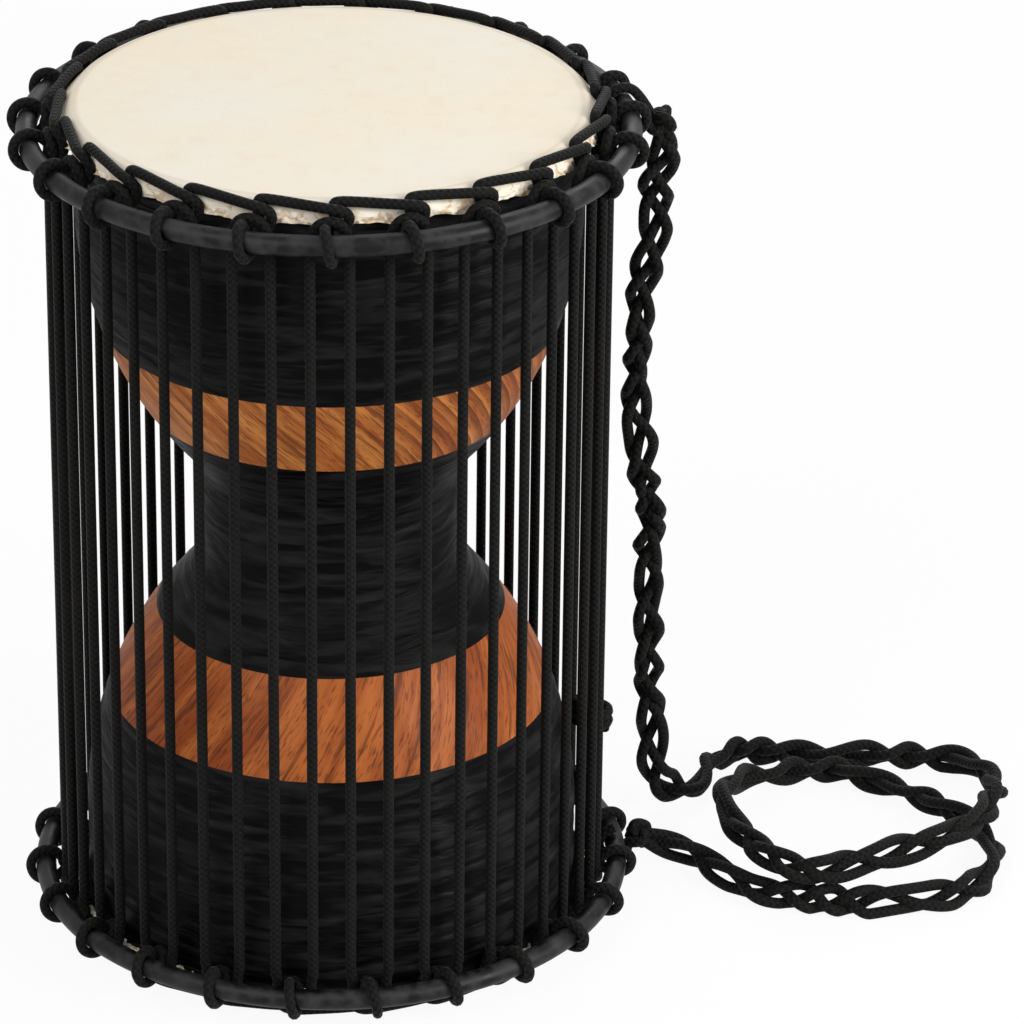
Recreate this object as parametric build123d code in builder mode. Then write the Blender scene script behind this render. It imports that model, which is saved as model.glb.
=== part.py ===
"""Talking drum: a waisted wooden shell, a laced skin at each end, a cage of tension cords and a plaited strap.

Millimetres, +Z up. The origin is at the middle of the drum's base, on the floor that its lower lacing stands on.
Every crown piece is drawn at the upper end, by radius, rise past the ring and arc along the cords, and the lower
end is a copy of it turned upside down, and round by half a station.
"""

import math
import os

from build123d import *

os.makedirs("parts", exist_ok=True)

# Shell: an hourglass cut from one log, with a bore right through it
rim_radius = 96.0
rim_land = 36.0
waist_radius = 50.0
waist_land = 26.0
bowl_arc = 150.0
bowl_tapers = 5
waist_easing = 6.0
rim_wall = 9.0
cup_depth = 60.0
throat_radius = 38.0
throat_length = 48.0

# Heads: a skin folded over a flat hoop just outside the shell's rim
skin = 0.7
skin_rise = 11.0
fold_rise = 7.5
skirt_low = 2.6
hoop_width = 3.0
hoop_height = 3.8
hoop_gap = 0.3

# Tuning rings: round bar rolled into a hoop outside the cords
ring_rod = 8.0
ring_spacing = 311.0
ring_sides = 8
ring_gap = 2.0

# Rope of the lacing and the cords
rope = 4.0
rope_sides = 5
rope_slack = 0.95
station_count = 23
cord_gap = 2.7
leg_drop = 8.0
loop_lean = 2.3
loop_runs = 4

# Cords that are squeezed in play, at the front and at the back
squeeze_cords = 8
squeeze_angle = 6.0
joint_gap = 0.3

# Strap: a loose plait of the same rope, tied to both rings
strap = 12.0
strap_sides = 5
strap_lift = 0.1
strap_gap = 0.7
top_tie_station = 6.5
bottom_tie_station = 6
knot_turns = 2
knot_steps = 8

# Sizes that follow from the ones above
hoop_radius = rim_radius + hoop_gap
skirt_radius = hoop_radius + hoop_width + hoop_gap + skin
cord_radius = skirt_radius + cord_gap + rope / 2
ring_radius = cord_radius + rope / 2 + ring_gap + ring_rod / 2
station = 360 / station_count
round_sides = 2 * station_count
pitch = 2 * math.pi * cord_radius / station_count
wrap_reach = (ring_rod + rope) / 2 + rope_slack
fold_slope = (skin_rise - fold_rise) / (skirt_radius - rim_radius)
lacing_rise = fold_rise + (rope / 2 + 0.8) * math.hypot(1, fold_slope)
foot_flat = rope / 10
ring_low = lacing_rise + rope / 2 - foot_flat
ring_high = ring_low + ring_spacing
middle = (ring_low + ring_high) / 2
cord_low = ring_low + leg_drop
cord_high = ring_high - leg_drop
shell_half = ring_spacing / 2 + skin_rise - skin
bowl_top = shell_half - rim_land
bowl_foot = bowl_top - math.sqrt(bowl_arc**2 - (bowl_arc - rim_radius + waist_radius) ** 2)


def crown_point(radius, rise, arc, angle, end=1):
    """A point of a crown, end 1 above or -1 below: its rise past the ring and its arc from a station's angle."""
    turn = math.radians(angle) + arc / cord_radius
    return (radius * math.sin(turn), -radius * math.cos(turn), middle + end * (ring_spacing / 2 + rise))


def lower_end(part):
    """The lower crown's copy of an upper piece: turned upside down, and round by half a station."""
    return part.rotate(Axis((0, 0, middle), (0, 1, 0)), 180).rotate(Axis.Z, station / 2)


def turned(levels):
    """A round solid with flat sides, through (radius, height) levels."""
    with BuildPart() as body:
        for radius, height in levels:
            with BuildSketch(Plane.XY.offset(height)):
                RegularPolygon(radius, round_sides)
        loft(ruled=True)
    return body.part


def carried_round(outline):
    """An outline of (radius, height) points carried once round +Z, with flat sides."""
    flat = math.cos(math.pi / round_sides)
    path_radius = sum(radius for radius, _ in outline) / len(outline)
    corners = [360 * (i + 0.5) / round_sides for i in range(round_sides)]
    path = [crown_point(path_radius, 0, 0, angle) for angle in corners]
    start = crown_point(path_radius * flat, 0, 0, 0)
    with BuildPart() as body:
        with BuildLine():
            Polyline(start, *path, close=True)
        with BuildSketch(Plane(origin=(0, 0, 0), x_dir=(0, -1, 0), z_dir=(-1, 0, 0))):
            with BuildLine():
                Polyline(*((radius * flat, height) for radius, height in outline), close=True)
            make_face()
        sweep(transition=Transition.RIGHT)
    return body.part


def square_to(points):
    """The plane at the first point of a route, square to its first run."""
    return Plane(origin=points[0], z_dir=Vector(*points[1]) - Vector(*points[0]))


def corner_radii(points):
    """For each corner of a route, the radius that takes 0.45 of its shorter run."""
    radii = []
    for before, corner, after in zip(points, points[1:], points[2:]):
        run_in = Vector(*corner) - Vector(*before)
        run_out = Vector(*after) - Vector(*corner)
        turn = math.radians(run_in.get_angle(run_out))
        radii.append(0.45 * min(run_in.length, run_out.length) / math.tan(turn / 2))
    return radii


def least_gap(points, diameter, apart, step=2.0):
    """The least gap between two stretches of one tube that lie more than apart from each other along it."""
    samples = []
    travelled = 0.0
    for start, end in zip(points, points[1:]):
        run = math.dist(start, end)
        count = max(1, math.ceil(run / step))
        for i in range(count):
            share = i / count
            place = tuple(a + (b - a) * share for a, b in zip(start, end))
            samples.append((travelled + run * share, place))
        travelled += run
    return min(
        math.dist(a, b) - diameter
        for i, (at_a, a) in enumerate(samples)
        for at_b, b in samples[i + 1 :]
        if at_b - at_a > apart
    )


# Shell
def bowl_radius(height):
    """The bowl's outer radius at a height above the waist's middle, on an arc that ends upright below the rim."""
    return rim_radius - bowl_arc + math.sqrt(bowl_arc**2 - (bowl_top - height) ** 2)


taper_low = bowl_foot + waist_easing
taper_step = (bowl_top - taper_low) / bowl_tapers
taper_heights = [taper_low + i * taper_step for i in range(bowl_tapers + 1)]
upper_half = [
    (waist_radius, waist_land / 2),
    *((bowl_radius(height), height) for height in taper_heights),
    (rim_radius, shell_half),
    (rim_radius - rim_wall, shell_half),
    (rim_radius - rim_wall, shell_half - cup_depth),
    (throat_radius, throat_length / 2),
]
shell_outline = [(radius, middle + height) for radius, height in upper_half]
shell_outline += [(radius, middle - height) for radius, height in reversed(upper_half)]
with BuildPart() as shell:
    add(carried_round(shell_outline))
shell.part.label = "shell"
export_step(shell.part, "parts/shell.step")

# Flesh hoops
with BuildPart() as top_hoop:
    with BuildSketch(Plane.XY.offset(ring_high + fold_rise - skin)):
        RegularPolygon(hoop_radius + hoop_width, round_sides)
        RegularPolygon(hoop_radius, round_sides, mode=Mode.SUBTRACT)
    extrude(amount=-hoop_height)
top_hoop.part.label = "top_hoop"
export_step(top_hoop.part, "parts/top_hoop.step")

with BuildPart() as bottom_hoop:
    add(lower_end(top_hoop.part))
bottom_hoop.part.label = "bottom_hoop"
export_step(bottom_hoop.part, "parts/bottom_hoop.step")

# Skins: flat over the rim, folded down outside the hoop to a short skirt
skin_outside = [(skirt_radius, skirt_low), (skirt_radius, fold_rise), (rim_radius + skin / 2, skin_rise)]
skin_inside = [
    (skirt_radius - skin, skirt_low),
    (skirt_radius - skin, fold_rise - skin / 2),
    (rim_radius, skin_rise - skin),
]
with BuildPart() as top_skin:
    add(turned([(radius, ring_high + rise) for radius, rise in skin_outside]))
    add(turned([(radius, ring_high + rise) for radius, rise in skin_inside]), mode=Mode.SUBTRACT)
top_skin.part.label = "top_skin"
export_step(top_skin.part, "parts/top_skin.step")

with BuildPart() as bottom_skin:
    add(lower_end(top_skin.part))
bottom_skin.part.label = "bottom_skin"
export_step(bottom_skin.part, "parts/bottom_skin.step")

# Tuning rings
ring_route = [crown_point(ring_radius, 0, 0, 360 * i / round_sides) for i in range(round_sides)]
with BuildPart() as top_ring:
    with BuildLine():
        Polyline(*ring_route, close=True)
    with BuildSketch(square_to(ring_route)):
        RegularPolygon(ring_rod / 2, ring_sides)
    sweep(transition=Transition.RIGHT)
top_ring.part.label = "top_ring"
export_step(top_ring.part, "parts/top_ring.step")

with BuildPart() as bottom_ring:
    add(lower_end(top_ring.part))
bottom_ring.part.label = "bottom_ring"
export_step(bottom_ring.part, "parts/bottom_ring.step")

# Lacing: one rope that runs along the fold of the skin, dives under each cord loop and goes once round the ring
wrap_turns = (128, 71, 13, -45, -103, -164)
wrap_arcs = (-0.46, -0.45, -0.25, 0.0, 0.25, 0.46)
wrap = [
    (
        ring_radius + wrap_reach * math.cos(math.radians(turn)),
        wrap_reach * math.sin(math.radians(turn)),
        arc * rope,
    )
    for turn, arc in zip(wrap_turns, wrap_arcs)
]
dive = [
    (skirt_radius + 0.29 * rope, lacing_rise - 0.4, -0.182 * pitch),
    (skirt_radius + rope + 0.2, 0.78 * rope, -0.48 * rope),
]
climb = [
    (skirt_radius + rope / 2 + 0.5, fold_rise - 0.6, 0.8 * rope),
    (skirt_radius + 0.32 * rope, lacing_rise, 0.223 * pitch),
    (skirt_radius + 0.17 * rope, lacing_rise - 1.0, 0.55 * pitch),
]
last_arc = 0.64 * pitch
first_station = station_count // 2 + 1
lacing_route = [
    crown_point(radius, rise, arc, station * (first_station + i))
    for i in range(station_count)
    for radius, rise, arc in (*dive, *wrap, *climb)
]
lacing_end_radius, lacing_end_rise, _ = dive[0]
lacing_end = station * (first_station + station_count - 1)
lacing_route.append(crown_point(lacing_end_radius, lacing_end_rise, last_arc, lacing_end))
print(f"lacing: rope {rope}, least gap to itself {least_gap(lacing_route, rope, 3 * rope):.2f}")
with BuildPart() as top_lacing:
    with BuildLine():
        Polyline(*lacing_route)
    with BuildSketch(square_to(lacing_route)):
        RegularPolygon(rope / 2, rope_sides)
    sweep(transition=Transition.RIGHT)
top_lacing.part.label = "top_lacing"
export_step(top_lacing.part, "parts/top_lacing.step")

with BuildPart() as bottom_lacing:
    add(lower_end(top_lacing.part))
    split(bisect_by=Plane.XY, keep=Keep.TOP)
bottom_lacing.part.label = "bottom_lacing"
export_step(bottom_lacing.part, "parts/bottom_lacing.step")

# Cord loops: where the tension rope turns back over the lacing at each station
loop_top = lacing_rise - 1.0
loop_spring = loop_top - pitch / 4
loop_route = [crown_point(cord_radius, -leg_drop, -pitch / 4, 0)]
for i in range(loop_runs + 1):
    turn = math.pi * (1 - i / loop_runs)
    bend = abs(math.sin(turn))
    radius = cord_radius + loop_lean * math.sqrt(bend)
    loop_route.append(crown_point(radius, loop_spring + pitch / 4 * bend, pitch / 4 * math.cos(turn), 0))
loop_route.append(crown_point(cord_radius, -leg_drop, pitch / 4, 0))
with BuildPart() as cord_loop:
    with BuildLine():
        Polyline(*loop_route)
    with BuildSketch(square_to(loop_route)):
        RegularPolygon(rope / 2, rope_sides)
    sweep(transition=Transition.RIGHT)

with BuildPart() as top_loops:
    with PolarLocations(0, station_count):
        add(cord_loop.part)
top_loops.part.label = "top_loops"
export_step(top_loops.part, "parts/top_loops.step")

with BuildPart() as bottom_loops:
    add(lower_end(top_loops.part))
bottom_loops.part.label = "bottom_loops"
export_step(bottom_loops.part, "parts/bottom_loops.step")

# Tension cords: straight between the loops' legs, half a station apart
half_squeeze = squeeze_cords // 2
front_cords = [(i + 0.5) * station / 2 for i in range(-half_squeeze, half_squeeze)]
side_count = station_count - squeeze_cords
right_cords = [(half_squeeze + i + 0.5) * station / 2 for i in range(side_count)]
cord_length = cord_high - cord_low


def cord_place(angle):
    """Where the cord at an angle from the front stands, on the floor."""
    turn = math.radians(angle)
    return (cord_radius * math.sin(turn), -cord_radius * math.cos(turn))


with BuildPart() as right_cord_row:
    with BuildSketch(Plane.XY.offset(cord_low)):
        with Locations(*(cord_place(angle) for angle in right_cords)):
            RegularPolygon(rope / 2, rope_sides)
    extrude(amount=cord_length)
right_cord_row.part.label = "right_cords"
export_step(right_cord_row.part, "parts/right_cords.step")

with BuildPart() as left_cord_row:
    add(right_cord_row.part.mirror(Plane.YZ))
left_cord_row.part.label = "left_cords"
export_step(left_cord_row.part, "parts/left_cords.step")

# Squeezed cords: each is two halves that meet at mid height, and its upper end leaves room to swing
half_length = middle - joint_gap / 2 - (cord_low + joint_gap)
with BuildPart() as front_upper:
    for angle in front_cords:
        swing_room = (cord_radius + cord_place(angle)[1]) * math.sin(math.radians(squeeze_angle))
        with BuildSketch(Plane.XY.offset(middle + joint_gap / 2)):
            with Locations(cord_place(angle)):
                RegularPolygon(rope / 2, rope_sides)
        extrude(amount=half_length - swing_room)
front_upper.part.label = "front_upper_cords"
export_step(front_upper.part, "parts/front_upper_cords.step")

with BuildPart() as front_lower:
    with BuildSketch(Plane.XY.offset(cord_low + joint_gap)):
        with Locations(*(cord_place(angle) for angle in front_cords)):
            RegularPolygon(rope / 2, rope_sides)
    extrude(amount=half_length)
front_lower.part.label = "front_lower_cords"
export_step(front_lower.part, "parts/front_lower_cords.step")

with BuildPart() as back_upper:
    add(front_upper.part.mirror(Plane.XZ))
back_upper.part.label = "back_upper_cords"
export_step(back_upper.part, "parts/back_upper_cords.step")

with BuildPart() as back_lower:
    add(front_lower.part.mirror(Plane.XZ))
back_lower.part.label = "back_lower_cords"
export_step(back_lower.part, "parts/back_lower_cords.step")

# Strap: hangs beside the drum, lies in two loose turns on the floor and comes back to the lower ring
# hang_run: distance out from the ring's middle line, depth and share of the upper ring's height
hang_run = [
    (12.5, 23.5, 0.961),
    (13.2, 24.2, 0.927),
    (10.0, 26.5, 0.890),
    (13.0, 29.0, 0.834),
    (8.5, 31.5, 0.779),
    (6.0, 34.0, 0.711),
    (6.7, 36.5, 0.643),
    (6.0, 39.0, 0.575),
    (9.0, 41.5, 0.513),
    (12.5, 44.5, 0.442),
    (13.6, 47.5, 0.371),
    (13.0, 51.0, 0.297),
    (14.5, 54.0, 0.222),
    (15.0, 57.0, 0.145),
    (16.5, 58.0, 0.102),
]
strap_low = strap / 2 + strap_lift
strap_high = strap_low + strap + strap_gap
hang_points = [(ring_radius + out, depth, ring_high * share) for out, depth, share in hang_run]
# landing_run and coil_run: distance out from the ring's middle line, depth and rise above the strap's lowest place
landing_run = [(17.3, 58.0, 14.5), (20.8, 57.8, 6.8), (28.0, 58.5, 2.0)]
landing_points = [(ring_radius + out, depth, strap_low + rise) for out, depth, rise in landing_run]
# The first turn lies behind the second at the back, crosses it at the right and lies on it at the front
step = strap_high - strap_low
coil_run = [
    (35.0, 63.0, 0.2),
    (38.5, 72.0, 0.0),
    (42.0, 86.0, 0.0),
    (51.0, 95.0, 0.0),
    (67.0, 95.5, 0.0),
    (90.0, 92.0, 0.0),
    (113.0, 91.0, 0.0),
    (133.0, 91.5, 0.0),
    (149.0, 85.0, 0.1 * step),
    (158.0, 72.0, 0.3 * step),
    (162.0, 57.0, 0.6 * step),
    (161.5, 42.0, 0.9 * step),
    (157.0, 26.0, step),
    (146.0, 11.0, step),
    (130.0, -2.0, step),
    (111.0, -11.0, step),
    (94.0, -20.0, step),
    (80.0, -26.5, step),
    (67.0, -23.5, step),
    (56.0, -10.0, step),
    (49.0, 6.0, step),
    (45.0, 23.0, step),
    (45.0, 40.0, 0.94 * step),
    (49.0, 55.0, 0.66 * step),
    (57.0, 65.0, 0.27 * step),
    (69.0, 71.0, 0.03 * step),
    (83.0, 76.0, 0.0),
    (96.0, 75.0, 0.0),
    (108.0, 67.0, 0.0),
    (121.0, 57.0, 0.0),
    (135.0, 46.0, 0.0),
    (148.0, 34.0, 0.0),
    (156.0, 19.0, 0.0),
    (157.0, 3.0, 0.0),
    (150.0, -12.0, 0.0),
    (135.0, -22.0, 0.0),
    (116.0, -27.5, 0.0),
    (96.0, -29.0, 0.0),
    (77.0, -26.0, 0.0),
]
coil_points = [(ring_radius + out, depth, strap_low + rise) for out, depth, rise in coil_run]
tail_points = [
    (ring_radius + 58.0, -21.5, strap_low),
    (ring_radius + 47.0, -11.0, strap_low),
    (ring_radius + 40.0, -1.5, strap_low),
    (ring_radius + 33.5, 6.0, strap_low),
    (ring_radius + 26.0, 10.5, strap_low + 0.4),
    (ring_radius + 20.0, 11.8, strap_low + 0.9),
]
strap_route = [*hang_points, *landing_points, *coil_points, *tail_points]
coil_first = len(hang_points) + len(landing_points) + 5
tail_first = len(strap_route) - len(tail_points) - 1


def between(i):
    """The point halfway along a run of the strap, where two stretches of it meet end to end."""
    return tuple((a + b) / 2 for a, b in zip(strap_route[i - 1], strap_route[i]))


stretches = {
    "strap_hang": [*strap_route[:coil_first], between(coil_first)],
    "strap_coil": [between(coil_first), *strap_route[coil_first:tail_first], between(tail_first)],
    "strap_tail": [between(tail_first), *strap_route[tail_first:]],
}
for name, points in stretches.items():
    radii = corner_radii(points)
    with BuildPart() as stretch:
        with BuildLine() as route:
            FilletPolyline(*points, radius=radii)
        with BuildSketch(square_to(points)):
            RegularPolygon(strap / 2, strap_sides)
        sweep()
    stretch.part.label = name
    export_step(stretch.part, f"parts/{name}.step")
    length = route.wires()[0].length
    print(f"{name}: length {length:.0f}, radii {min(radii):.1f} to {max(radii):.0f}")
print(f"strap: width {strap}, least gap to itself {least_gap(strap_route, strap, 4 * strap):.2f}")

# Strap ties: a turn of rope round the ring that ends in a wound knot at the strap's end
tie_turns = (-90, -138, -186, -234, -282, -322)
knot_radius = 1.05 * rope
knot_pitch = 1.12 * rope
knot_length = knot_pitch * knot_turns
knot_gap = rope / 2 + 2 * joint_gap


def tie_route(angle, end, strap_end, strap_next):
    """Once round a ring at an angle, then in turns round the line that carries on from the strap's end."""
    hook = []
    for turn in tie_turns:
        out, rise = math.cos(math.radians(turn)), math.sin(math.radians(turn))
        hook.append(crown_point(ring_radius + wrap_reach * out, wrap_reach * rise, 0, angle, end))
    axis = (Vector(*strap_end) - Vector(*strap_next)).normalized()
    knot_far = Vector(*strap_end) + axis * (knot_gap + knot_length)
    frame = Plane(origin=knot_far, x_dir=Vector(*hook[-1]) - knot_far, z_dir=-axis)
    knot = []
    for i in range(knot_turns * knot_steps + 1):
        turn = math.pi / 2 + 2 * math.pi * i / knot_steps
        across, along = knot_radius * math.cos(turn), knot_radius * math.sin(turn)
        knot.append(tuple(frame.from_local_coords(Vector(across, along, knot_pitch * i / knot_steps))))
    return [*hook, *knot]


ties = {
    "strap_top_tie": tie_route(top_tie_station * station, 1, strap_route[0], strap_route[1]),
    "strap_bottom_tie": tie_route(bottom_tie_station * station, -1, strap_route[-1], strap_route[-2]),
}
for name, points in ties.items():
    with BuildPart() as tie:
        with BuildLine():
            Polyline(*points)
        with BuildSketch(square_to(points)):
            RegularPolygon(rope / 2, rope_sides)
        sweep(transition=Transition.RIGHT)
    tie.part.label = name
    export_step(tie.part, f"parts/{name}.step")
    print(f"{name}: rope {rope}, least gap to itself {least_gap(points, rope, 3 * rope, 1.0):.2f}")
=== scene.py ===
"""Talking drum on a pale floor.

A carved hourglass shell with laced goatskin heads, a cage of cords between two rings, and a plaited strap.
Metres, in the frame of the solids: +Z up the drum's axis, -Y towards the viewer, the origin on the
floor under the drum's middle.
"""

import math

import bmesh
import bpy
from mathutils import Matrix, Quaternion, Vector, noise


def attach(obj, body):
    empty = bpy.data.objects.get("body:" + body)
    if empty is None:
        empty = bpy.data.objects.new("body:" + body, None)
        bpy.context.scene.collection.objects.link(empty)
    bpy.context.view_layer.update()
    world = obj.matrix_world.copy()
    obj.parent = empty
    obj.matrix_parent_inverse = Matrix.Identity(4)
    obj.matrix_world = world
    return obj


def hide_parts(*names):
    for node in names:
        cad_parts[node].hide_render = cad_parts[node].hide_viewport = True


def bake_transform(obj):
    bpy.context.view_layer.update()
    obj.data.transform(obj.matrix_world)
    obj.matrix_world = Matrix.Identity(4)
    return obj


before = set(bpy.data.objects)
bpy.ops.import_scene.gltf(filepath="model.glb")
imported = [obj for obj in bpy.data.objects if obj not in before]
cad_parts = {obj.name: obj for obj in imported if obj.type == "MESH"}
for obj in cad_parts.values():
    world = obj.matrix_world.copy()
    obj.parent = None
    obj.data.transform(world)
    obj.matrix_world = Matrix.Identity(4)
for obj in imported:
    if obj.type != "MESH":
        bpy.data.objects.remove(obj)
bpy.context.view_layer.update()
scene = bpy.context.scene
mm = 0.001

# Camera: a long lens, a little above the drum
camera_data = bpy.data.cameras.new("camera")
camera_data.sensor_width = 36
camera_data.lens = 200.15
camera = bpy.data.objects.new("camera", camera_data)
scene.collection.objects.link(camera)
camera.location = (0, -1.97358, 1.12744)
sight = Vector((0.06996, 0, 0.16324)) - camera.location
lean = Quaternion((0, 0, 1), math.radians(0.713))
camera.rotation_euler = (sight.to_track_quat("-Z", "Y") @ lean).to_euler()
scene.camera = camera

# Sizes of the solids
rim_radius = 96 * mm
rim_land = 36 * mm
rim_wall = 9 * mm
waist_radius = 50 * mm
waist_land = 26 * mm
bowl_arc = 150 * mm
waist_easing = 6 * mm
cup_depth = 60 * mm
throat_radius = 38 * mm
throat_length = 48 * mm
skin = 0.7 * mm
skin_rise = 11 * mm
fold_rise = 7.5 * mm
skirt_low = 2.6 * mm
skirt_radius = 100.3 * mm
ring_rod = 8 * mm
ring_spacing = 311 * mm
ring_radius = 113 * mm
rope = 4 * mm
cord_radius = 105 * mm
station_count = 23
station = 360 / station_count
pitch = 2 * math.pi * cord_radius / station_count
wrap_reach = 6.75 * mm
leg_drop = 8 * mm
lacing_rise = 11.11 * mm
ring_low = 12.71 * mm
ring_high = ring_low + ring_spacing
middle = (ring_low + ring_high) / 2
cord_low = ring_low + leg_drop
cord_high = ring_high - leg_drop
shell_half = ring_spacing / 2 + skin_rise - skin
bowl_top = shell_half - rim_land
bowl_foot = bowl_top - math.sqrt(bowl_arc**2 - (bowl_arc - rim_radius + waist_radius) ** 2)


def crown_point(radius, rise, arc, angle, end=1):
    """A point of a crown, end 1 above or -1 below, by its rise past the ring and its arc from an angle."""
    turn = math.radians(angle) + arc / cord_radius
    return (radius * math.sin(turn), -radius * math.cos(turn), middle + end * (ring_spacing / 2 + rise))


def rope_line(route, fineness):
    """Points read along the smooth line that has the route as its control points."""
    curve = bpy.data.curves.new("route", "CURVE")
    curve.dimensions = "3D"
    spline = curve.splines.new("NURBS")
    spline.points.add(len(route) - 1)
    for point, place in zip(spline.points, route):
        point.co = (*place, 1)
    spline.order_u = 3
    spline.use_endpoint_u = True
    spline.resolution_u = fineness
    holder = bpy.data.objects.new("route", curve)
    read = bpy.data.meshes.new_from_object(holder)
    line = [vertex.co.copy() for vertex in read.vertices]
    bpy.data.objects.remove(holder)
    bpy.data.curves.remove(curve)
    bpy.data.meshes.remove(read)
    return line


def tangents(line):
    """The direction of a line at each of its points."""
    last = len(line) - 1
    return [(line[min(i + 1, last)] - line[max(i - 1, 0)]).normalized() for i in range(last + 1)]


def carried_sides(directions):
    """A sideways direction at each point of a line, carried along it without twisting."""
    side = directions[0].orthogonal().normalized()
    sides = [side]
    for before, after in zip(directions, directions[1:]):
        side = before.rotation_difference(after) @ side
        side = (side - after * side.dot(after)).normalized()
        sides.append(side)
    return sides


def rope_mesh(name, lines, radius=rope / 2, sides=10, floor=None, start=0.0):
    """Rope along each line, with the length, from start on, and the turn of each point for the braid.

    floor is a height at which the rope is pressed flat.
    """
    points, faces, places = [], [], []
    for line in lines:
        directions = tangents(line)
        first = len(points)
        travelled = [start]
        for a, b in zip(line, line[1:]):
            travelled.append(travelled[-1] + (b - a).length)
        for centre, along, side in zip(line, directions, carried_sides(directions)):
            other = along.cross(side)
            for k in range(sides):
                turn = 2 * math.pi * k / sides
                point = centre + (side * math.cos(turn) + other * math.sin(turn)) * radius
                if floor is not None:
                    point.z = max(point.z, floor)
                points.append(point)
        for i in range(len(line) - 1):
            for k in range(sides):
                row, next_row = first + i * sides, first + (i + 1) * sides
                after = (k + 1) % sides
                faces.append((row + k, row + after, next_row + after, next_row + k))
                turns = (k / sides, (k + 1) / sides)
                near, far = travelled[i], travelled[i + 1]
                places += [(near, turns[0]), (near, turns[1]), (far, turns[1]), (far, turns[0])]
        end = first + (len(line) - 1) * sides
        faces.append(tuple(first + k for k in reversed(range(sides))))
        faces.append(tuple(end + k for k in range(sides)))
        places += [(start, k / sides) for k in reversed(range(sides))]
        places += [(travelled[-1], k / sides) for k in range(sides)]
    mesh = bpy.data.meshes.new(name)
    mesh.from_pydata(points, [], faces)
    layer = mesh.uv_layers.new(name="length_and_turn")
    layer.data.foreach_set("uv", [number for place in places for number in place])
    mesh.shade_smooth()
    mesh.set_sharp_from_angle(angle=math.radians(70))
    return mesh


def turned_mesh(name, outline, columns, moved=None):
    """A closed outline of (radius, height) points turned about the drum's axis.

    moved shifts each point by its row and angle. Points of the outline on the axis become one point.
    """
    points, faces = [], []
    rows = len(outline)
    for column in range(columns):
        angle = 2 * math.pi * column / columns
        for row, (radius, height) in enumerate(outline):
            if moved:
                radius, height = moved(row, radius, height, angle)
            points.append((radius * math.sin(angle), -radius * math.cos(angle), height))
    for column in range(columns):
        here, there = column * rows, (column + 1) % columns * rows
        for row in range(rows):
            after = (row + 1) % rows
            faces.append((here + row, there + row, there + after, here + after))
    mesh = bpy.data.meshes.new(name)
    mesh.from_pydata(points, [], faces)
    if min(radius for radius, _ in outline) == 0:
        joined = bmesh.new()
        joined.from_mesh(mesh)
        bmesh.ops.remove_doubles(joined, verts=joined.verts, dist=0.001 * mm)
        joined.to_mesh(mesh)
        joined.free()
    mesh.shade_smooth()
    return mesh


def paint(code):
    """A colour written as sRGB hex, as the linear colour that a shader takes."""
    shares = [int(code[i : i + 2], 16) / 255 for i in (1, 3, 5)]
    return (*(s / 12.92 if s <= 0.04045 else ((s + 0.055) / 1.055) ** 2.4 for s in shares), 1)


def put(tree, kind, inputs=None, **settings):
    """Adds a node with its settings; inputs gives each socket a value, or an output to link to it.

    A colour Mix has its share at socket 0 and its colours at 6 and 7. A MapRange has its value at 0,
    the range it comes from at 1 and 2, and the range it goes to at 3 and 4.
    """
    made = tree.nodes.new("ShaderNode" + kind)
    for name, value in settings.items():
        setattr(made, name, value)
    for socket, value in (inputs or {}).items():
        if isinstance(value, bpy.types.NodeSocket):
            tree.links.new(value, made.inputs[socket])
        else:
            made.inputs[socket].default_value = value
    return made


def new_finish(name):
    """An empty material and its node tree."""
    made = bpy.data.materials.new(name)
    made.use_nodes = True
    made.node_tree.nodes.clear()
    return made, made.node_tree


# Braided polyester cord, dyed black: crossed yarns, with a painted highlight of dull grey on their crowns
# and painted shade of black between them.
# The yarns of such a cord are 0.7 mm wide; they are drawn 1.3 mm wide so that they show.
yarn_width = 1.3 * mm
yarns_round = 4
black_braid, tree = new_finish("black_braid")
place = put(tree, "UVMap", uv_map="length_and_turn")
parts = put(tree, "SeparateXYZ", {0: place.outputs["UV"]})
along = put(tree, "Math", {0: parts.outputs["X"], 1: math.pi / yarn_width}, operation="MULTIPLY")
around = put(tree, "Math", {0: parts.outputs["Y"], 1: 2 * math.pi * yarns_round}, operation="MULTIPLY")
long_wave = put(tree, "Math", {0: along.outputs[0]}, operation="SINE")
round_wave = put(tree, "Math", {0: around.outputs[0]}, operation="SINE")
crowns = put(tree, "Math", {0: long_wave.outputs[0], 1: round_wave.outputs[0]}, operation="MULTIPLY")
where = put(tree, "TexCoord")
dust = put(tree, "TexNoise", {"Vector": where.outputs["Object"], "Scale": 1 / (14 * mm), "Detail": 3})
fuzz = put(tree, "TexNoise", {"Vector": where.outputs["Object"], "Scale": 1 / (0.9 * mm), "Detail": 2})
# Painted light: the crowns of the braid pattern are painted dull grey as a highlight, and the hollows
# between them black as shade
painted_crown_highlight = put(tree, "MapRange", {0: crowns.outputs[0], 1: -0.9, 2: 0.9})
yarn_painted_highlight_and_shade = put(tree, "Mix", {0: painted_crown_highlight.outputs[0], 6: paint("#040404"), 7: paint("#191817")}, data_type="RGBA")
worn = put(tree, "MapRange", {0: dust.outputs[0], 1: 0.4, 2: 0.75, 3: 0.0, 4: 0.45})
dust_and_painted_light = put(tree, "Mix", {0: worn.outputs[0], 6: yarn_painted_highlight_and_shade.outputs[2], 7: paint("#1a1918")}, data_type="RGBA")
relief = put(tree, "Math", {0: fuzz.outputs[0], 1: 0.7, 2: crowns.outputs[0]}, operation="MULTIPLY_ADD")
bump = put(tree, "Bump", {"Strength": 0.7, "Distance": 0.24 * mm, "Height": relief.outputs[0]})
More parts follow.
